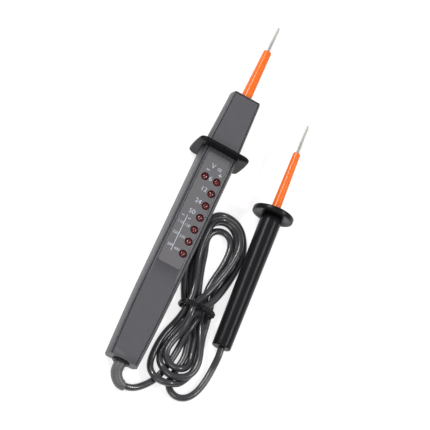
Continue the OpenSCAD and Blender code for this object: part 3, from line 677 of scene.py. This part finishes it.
@dataclass
class TwistTie:
    """The black wire tie round the waist of the hank, with its ends twisted together.

    Attributes:
        middle: The middle of the waist, in millimetres.
        half_width: Half the width of the bundle that it holds.
        height: The height of the bundle.
        wire: The radius of the covered wire.
        wraps: How many times it goes round.
        spread: The distance between two wraps.
        knot: The middle of the knot, from the middle of the waist.
        tail_end: The end of the twisted tail, from the middle of the waist.
        tail_turns: How many times the ends are twisted.
        cross_from: Where the short twist over the knot starts, across from the knot and along from the
            middle of the waist.
        cross_to: Where it ends.
        cross_turns: How many times it goes round.
        lift: The height of the twists over the bundle, in radii of the wire.
        apart: How far a twisted wire lies from the twist's middle, in radii of the wire.
        wrap_points: The points of one wrap.
        twist_points: The points of one twist.
        squareness: The power that squares a wrap's outline, 1 for an ellipse.
        sway: How far a wrap wanders along the hank.
        sway_rate: How many times it wanders in a wrap.
        droop: How fast the end of the tail drops.
        droop_start: The share of the tail where it starts to drop.
        sides: The sides of the wire.
    """

    middle: tuple[float, float] = (7.4, -71.4)
    half_width: float = 10.3
    height: float = 12.8
    wire: float = 0.92
    wraps: int = 3
    spread: float = 0.95
    knot: tuple[float, float] = (2.6, -0.4)
    tail_end: tuple[float, float] = (10.6, -1.8)
    tail_turns: float = 2.5
    cross_from: tuple[float, float] = (-2.8, 1.6)
    cross_to: tuple[float, float] = (1.2, -2.0)
    cross_turns: float = 1.2
    lift: float = 2.9
    apart: float = 1.05
    wrap_points: int = 48
    twist_points: int = 36
    squareness: float = 0.55
    sway: float = 0.35
    sway_rate: float = 2.3
    droop: float = 2.6
    droop_start: float = 0.6
    sides: int = 10

    def _wrap(self) -> np.ndarray:
        """Lead the wire round the bundle.

        Returns:
            The wire's points, in millimetres.
        """
        points = []
        count = self.wrap_points * self.wraps
        half_height = self.height / 2 + self.wire * 0.5
        for k in range(count + 1):
            angle = 2.0 * math.pi * k / self.wrap_points + math.pi / 2
            c, s = math.cos(angle), math.sin(angle)
            x = math.copysign(abs(c) ** self.squareness, c) * (self.half_width + self.wire)
            z = math.copysign(abs(s) ** self.squareness, s) * half_height + half_height
            y = (k / count - 0.5) * 2.0 * self.spread + self.sway * math.sin(self.sway_rate * angle)
            points.append((self.middle[0] + x, self.middle[1] + y, max(z, self.wire)))
        return np.array(points)

    def _twist(self, first: tuple[float, float], last: tuple[float, float], turns: float,
               phase: float) -> np.ndarray:
        """One of two wires that are twisted round each other.

        Args:
            first: Where the twist starts, from the middle of the waist.
            last: Where it ends.
            turns: How many times it goes round.
            phase: Where the wire starts round the twist, in radians.

        Returns:
            The wire's points, in millimetres.
        """
        run = Vector((last[0] - first[0], last[1] - first[1], 0.0))
        side = Vector((-run.y, run.x, 0.0)).normalized()
        high = self.height + self.lift * self.wire
        points = []
        for t in np.linspace(0.0, 1.0, self.twist_points):
            angle = phase + 2.0 * math.pi * turns * t
            foot = Vector((self.middle[0] + first[0], self.middle[1] + first[1], high))
            place = foot + run * t
            droop = self.droop * max(0.0, t - self.droop_start) ** 2
            place += side * self.wire * self.apart * math.cos(angle)
            points.append((place.x, place.y, place.z + self.wire * self.apart * math.sin(angle) - droop))
        return np.array(points)

    def build(self) -> bpy.types.Object:
        """Make the tie.

        Returns:
            The tie's object.
        """
        lines = [self._wrap()]
        first = (self.knot[0] + self.cross_from[0], self.cross_from[1])
        last = (self.knot[0] + self.cross_to[0], self.cross_to[1])
        for phase in (0.0, math.pi):
            lines.append(self._twist(self.knot, self.tail_end, self.tail_turns, phase))
            lines.append(self._twist(first, last, self.cross_turns, phase))
        shape = bmesh.new()
        for line in lines:
            strand = swept(line, np.full(len(line), self.wire), self.sides)
            mesh = bpy.data.meshes.new("strand")
            strand.to_mesh(mesh)
            strand.free()
            shape.from_mesh(mesh)
            bpy.data.meshes.remove(mesh)
        piece = add_piece("tie", shape, TIE)
        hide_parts("twist_tie")
        return piece


@dataclass
class StrainRelief:
    """The grey sleeve that guides the lead out of the tail and round its bend.

    Attributes:
        radius: Its radius at the collar.
        end_radius: Its radius at its mouth.
        tail: Where it leaves the collar, in millimetres.
        bend: The points of its bend, from inside the collar to its mouth, from that place.
        taper: The power that sets where it gets thinner.
        rim: The share of its length where the mouth is rounded.
        rounding: How far the rounding takes the mouth in.
        step: The distance between two rings.
        sides: The sides of a ring.
        smooth_deg: Faces that meet at less than this angle are shaded as one surface.
    """

    radius: float = 3.9
    end_radius: float = 3.3
    tail: Point = (-22.489, -127.18, 7.05)
    bend: tuple[Point, ...] = (
        (0.0, 1.6, 0.1), (0.0, 0.0, 0.0), (0.0, -3.2, -0.3), (0.3, -5.8, -0.8), (2.1, -8.7, -1.5),
        (4.8, -10.8, -2.1), (7.4, -11.3, -2.6), (8.7, -11.0, -2.8))
    taper: float = 1.3
    rim: float = 0.035
    rounding: float = 0.55
    step: float = 0.5
    sides: int = 32
    smooth_deg: float = 60.0

    def way(self) -> np.ndarray:
        """The points of its bend in the row frame, in millimetres."""
        return np.array(self.tail) + np.array(self.bend)

    def build(self) -> bpy.types.Object:
        """Make the strain relief.

        Returns:
            Its object.
        """
        line = smooth_line(self.way(), self.step)
        share = np.linspace(0.0, 1.0, len(line))
        radii = self.radius + (self.end_radius - self.radius) * share ** self.taper
        rim = np.clip((share - (1.0 - self.rim)) / self.rim, 0.0, 1.0)
        radii = radii - self.rounding * (1.0 - np.sqrt(1.0 - rim ** 2))
        piece = add_piece("relief", swept(line, radii, self.sides), RELIEF, self.smooth_deg)
        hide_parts("strain_relief")
        return piece


@dataclass(frozen=True)
class Mark:
    """A printed mark: its words, its place on the panel and its height, in millimetres."""

    words: str
    across: float
    along: float
    height: float = 3.0


@dataclass
class MainProbe:
    """The main probe: its shells, guard, lamps, pin and the print on its legend panel.

    Attributes:
        place: Where the probe lies.
        front: The depth of the front at the shoulder.
        front_tail: The depth of the front at the tail.
        body: The housing's length.
        panel_depth: The depth of the legend panel's recess.
        panel_top: The distance from the shoulder to the panel.
        panel_length: The panel's length.
        panel_width: Its width.
        panel_gap: The dark line left between the foil and the edge of the recess.
        panel_corner: The radius of its corners.
        foil: The height of the foil's top over the floor of the recess.
        lamp_start: The distance from the shoulder to the first lamps.
        lamp_pitch: The distance between two lamps.
        lamp_across: The distance of each column from the line between them.
        lamp_shift: How far that line lies to the right of the middle.
        lamp_hole: The radius of a lamp's hole.
        lamps: The lamps in the long column.
        numbers: The printed numbers and letters.
        bars: The printed bars: the place across and along, the width and the height of each.
        corner_steps: The steps of an arc at the foil's corners.
        hole_gap: How much wider the foil's holes are than the lamps' holes.
        hole_points: The points round a hole of the foil.
        foil_share: The thickness of the foil, as a share of that height.
        ink: The thickness of the print.
        type_scale: The font size that gives a figure of height 1.
    """

    place: ProbeFrame = field(default_factory=lambda: ProbeFrame("main_tip", 99.1))
    front: float = 8.1
    front_tail: float = 7.2
    body: float = 152.0
    panel_depth: float = 0.3
    panel_top: float = 2.2
    panel_length: float = 82.0
    panel_width: float = 16.8
    panel_gap: float = 0.3
    panel_corner: float = 2.2
    foil: float = 0.12
    lamp_start: float = 19.6
    lamp_pitch: float = 8.9
    lamp_across: float = 4.3
    lamp_shift: float = 1.0
    lamp_hole: float = 2.6
    lamps: int = 7
    numbers: tuple[Mark, ...] = (
        Mark("V", -1.1, -11.0, 3.4), Mark("6", 0.6, -19.5, 3.2), Mark("12", -0.4, -27.9, 3.2),
        Mark("24", -0.4, -36.8, 3.2), Mark("50", -1.2, -45.0, 3.2),
        Mark("110", -5.0, -54.6, 1.9), Mark("120", -0.1, -54.8, 1.9),
        Mark("220", -5.0, -62.6, 1.9), Mark("230", 0.0, -63.1, 1.9),
        Mark("380", -4.9, -71.4, 1.9), Mark("400", 0.2, -72.2, 1.9))
    bars: tuple[tuple[float, float, float, float], ...] = (
        (3.5, -10.6, 2.8, 0.5), (3.5, -11.8, 2.8, 0.5),
        (-3.4, -14.6, 2.2, 0.55), (5.4, -14.6, 2.2, 0.55), (5.4, -14.6, 0.55, 2.2),
        (-2.8, -61.7, 0.4, 26.4), (-5.4, -49.6, 1.8, 0.45), (-0.8, -50.1, 1.8, 0.45))
    corner_steps: int = 6
    hole_gap: float = 0.1
    hole_points: int = 40
    foil_share: float = 0.8
    ink: float = 0.012
    type_scale: float = 1.38

    def _front_matrix(self) -> Matrix:
        """Work out where the flat front lies.

        Returns:
            The matrix from its frame, in metres, to the row frame.
        """
        slope = math.atan((self.front - self.front_tail) / self.body)
        lift = Matrix.Translation((0.0, 0.0, self.front * MM))
        return self.place.matrix() @ lift @ Matrix.Rotation(slope, 4, "X")

    def _panel_outline(self) -> list[tuple[float, float]]:
        """Draw the foil's outline, with an arc at each corner.

        Returns:
            Its points on the flat front, in millimetres.
        """
        points = []
        r = self.panel_corner - self.panel_gap
        half = self.panel_width / 2 - self.panel_gap
        high = -self.panel_top - self.panel_gap
        low = -self.panel_top - self.panel_length + self.panel_gap
        for side, end, first in ((1, 0, 0), (-1, 0, 90), (-1, 1, 180), (1, 1, 270)):
            middle = (side * (half - r), low + r if end else high - r)
            for step in range(self.corner_steps + 1):
                angle = math.radians(first + 90.0 / self.corner_steps * step)
                points.append((middle[0] + r * math.cos(angle), middle[1] + r * math.sin(angle)))
        return points

    def _lamp_spots(self) -> list[tuple[float, float]]:
        """List the middles of the lamps.

        Returns:
            Their places on the flat front, in millimetres.
        """
        right, left = self.lamp_shift + self.lamp_across, self.lamp_shift - self.lamp_across
        column = [(right, -self.lamp_start - self.lamp_pitch * k) for k in range(self.lamps)]
        return column + [(left, -self.lamp_start)]

    def _foil(self) -> bpy.types.Object:
        """Lay the foil in the panel's recess, with a hole round each lamp.

        Returns:
            The foil's object.
        """
        shape = bmesh.new()
        loops = [self._panel_outline()]
        room = self.lamp_hole + self.hole_gap
        angles = [2 * math.pi * k / self.hole_points for k in range(self.hole_points)]
        for across, along in self._lamp_spots():
            loops.append([(across + room * math.cos(a), along + room * math.sin(a)) for a in angles])
        for loop in loops:
            verts = [shape.verts.new((x * MM, y * MM, (self.foil - self.panel_depth) * MM)) for x, y in loop]
            for a, b in zip(verts, verts[1:] + verts[:1]):
                shape.edges.new((a, b))
        bmesh.ops.triangle_fill(shape, use_beauty=True, edges=shape.edges[:])
        bmesh.ops.recalc_face_normals(shape, faces=shape.faces)
        for face in shape.faces:
            if face.normal.z < 0:
                face.normal_flip()
        grown = bmesh.ops.extrude_face_region(shape, geom=shape.faces[:])
        low = [g for g in grown["geom"] if isinstance(g, bmesh.types.BMVert)]
        bmesh.ops.translate(shape, verts=low, vec=(0.0, 0.0, -self.foil * self.foil_share * MM))
        bmesh.ops.recalc_face_normals(shape, faces=shape.faces)
        bmesh.ops.transform(shape, matrix=self._front_matrix(), verts=shape.verts)
        return add_piece("legend_foil", shape, PANEL, 30.0)

    def _print(self) -> bpy.types.Object:
        """Print the numbers and bars on the foil.

        Returns:
            The print's object.
        """
        shape = bmesh.new()
        lift = (self.foil - self.panel_depth + self.ink) * MM
        for mark in self.numbers:
            text = bpy.data.curves.new("mark", "FONT")
            text.body = mark.words
            text.size = mark.height * self.type_scale * MM
            text.align_x = "CENTER"
            text.align_y = "CENTER"
            text.extrude = self.ink / 2 * MM
            holder = placed("mark", text)
            bpy.context.view_layer.update()
            mesh = bpy.data.meshes.new_from_object(holder)
            mesh.transform(Matrix.Translation((mark.across * MM, mark.along * MM, lift)))
            shape.from_mesh(mesh)
            bpy.data.objects.remove(holder)
            bpy.data.curves.remove(text)
            bpy.data.meshes.remove(mesh)
        for across, along, width, height in self.bars:
            bmesh.ops.create_cube(shape, size=1.0, matrix=Matrix.LocRotScale(
                (across * MM, along * MM, lift), None, (width * MM, height * MM, self.ink * MM)))
        bmesh.ops.transform(shape, matrix=self._front_matrix(), verts=shape.verts)
        return add_piece("legend_print", shape, INK, 30.0)

    def build(self) -> None:
        """Dress the main probe."""
        for node in ("front_shell", "rear_shell"):
            dressed_copy(node, HOUSING, 25.0)
        dressed_copy("finger_guard", GUARD)
        dressed_copy("tail_collar", COLLAR)
        dressed_copy("main_sleeve", SLEEVE)
        dressed_copy("main_pin", STEEL)
        for name in ["lamp_minus"] + ["lamp_%d" % (k + 1) for k in range(self.lamps)]:
            dressed_copy(name, LAMP, 50.0)
        self._foil()
        self._print()
        LOG.info("main probe dressed")


@dataclass
class Inside:
    """What the housing and the second handle hold, which stays as packed and only gets its finish.

    Attributes:
        finishes: The inner nodes, each with its finish.
    """

    finishes: tuple[tuple[str, Finish], ...] = (
        ("circuit_board", BOARD), ("resistors", LACQUER), ("diodes", DIODE), ("current_limiter", LIMITER),
        ("probe_contact", BRASS), ("core_wire", CORE), ("case_screws", STEEL), ("second_ferrule", BRASS))

    def build(self) -> None:
        """Give each inner node its finish."""
        for node, finish in self.finishes:
            dress(frame["nodes"][node], finish)
        LOG.info("inner pieces dressed")


@dataclass
class SecondProbe:
    """The round second probe, all on one axis.

    Attributes:
        finishes: Its nodes, each with its finish and its material slot.
    """

    finishes: tuple[tuple[str, Finish, str], ...] = (
        ("second_handle", HANDLE, "handle"), ("second_guard", HANDLE, "handle"),
        ("second_sleeve", SLEEVE, "sleeve"), ("second_pin", STEEL, "pin"))

    def build(self) -> None:
        """Dress the second probe."""
        for node, finish, slot in self.finishes:
            dressed_copy(node, finish)
        LOG.info("second probe dressed")


@dataclass(frozen=True)
class SoftBox:
    """A soft light: its place and target in metres, its size, and its power in watts."""

    place: Point
    size: tuple[float, float]
    power: float
    target: Point = (0.0, 0.0, 0.0)


@dataclass
class Studio:
    """A pale floor and soft light.

    Attributes:
        floor_size: The floor's side, in metres.
        floor_level: How much light the floor sends back.
        floor_glow: The floor's own light, as on a light table.
        floor_roughness: The floor's roughness.
        floor_specular: Its specular level.
        sky: The brightness of the room.
        boxes: The soft lights.
    """

    floor_size: float = 6.0
    floor_level: float = 0.45
    floor_glow: float = 0.74
    floor_roughness: float = 0.9
    floor_specular: float = 0.1
    sky: float = 0.34
    boxes: tuple[SoftBox, ...] = (
        SoftBox((-0.75, 0.35, 0.80), (0.45, 0.09), 6.8),
        SoftBox((0.70, 0.15, 0.90), (0.5, 0.12), 4.5),
        SoftBox((-0.10, -0.90, 1.10), (0.7, 0.35), 4.0))

    def _floor(self) -> None:
        """Lay the floor."""
        shape = bmesh.new()
        bmesh.ops.create_grid(shape, x_segments=1, y_segments=1, size=self.floor_size / 2)
        mesh = bpy.data.meshes.new("floor")
        shape.to_mesh(mesh)
        shape.free()
        floor = placed("floor", mesh)
        paint = bpy.data.materials.new("floor_white")
        paint.use_nodes = True
        surface = paint.node_tree.nodes["Principled BSDF"]
        surface.inputs["Base Color"].default_value = (self.floor_level,) * 3 + (1.0,)
        surface.inputs["Emission Color"].default_value = WHITE
        surface.inputs["Emission Strength"].default_value = self.floor_glow
        surface.inputs["Roughness"].default_value = self.floor_roughness
        surface.inputs["Specular IOR Level"].default_value = self.floor_specular
        mesh.materials.append(paint)

    def _room(self) -> None:
        """Light the room evenly from all sides."""
        world = bpy.context.scene.world or bpy.data.worlds.new("room")
        bpy.context.scene.world = world
        world.use_nodes = True
        sky = world.node_tree.nodes["Background"]
        sky.inputs["Color"].default_value = WHITE
        sky.inputs["Strength"].default_value = self.sky

    def _soft_lights(self) -> None:
        """Hang the soft boxes, each turned to its target."""
        for number, box in enumerate(self.boxes):
            data = bpy.data.lights.new("soft_box_%d" % number, "AREA")
            data.shape = "RECTANGLE"
            data.size, data.size_y = box.size
            data.energy = box.power
            lamp = placed("soft_box_%d" % number, data)
            lamp.location = box.place
            aim = Vector(box.target) - Vector(box.place)
            lamp.rotation_euler = aim.to_track_quat("-Z", "Y").to_euler()

    def build(self) -> None:
        """Make the floor, the room's light and the soft boxes."""
        self._floor()
        self._room()
        self._soft_lights()
        bpy.context.scene.view_settings.view_transform = "Standard"
        LOG.info("studio lit")


def main() -> None:
    """Build the camera, the lead and then every other piece."""
    logging.basicConfig(level=logging.INFO, format="%(name)s: %(message)s")
    StudioCamera().build()
    lead_maker = Lead()
    lead, line = lead_maker.build()
    tie = TwistTie().build()
    relief = StrainRelief().build()
    tuple(StrainRelief().way()[-1] * MM)
    MainProbe().build()
    SecondProbe().build()
    Inside().build()
    Studio().build()


if __name__ == "__main__":
    main()
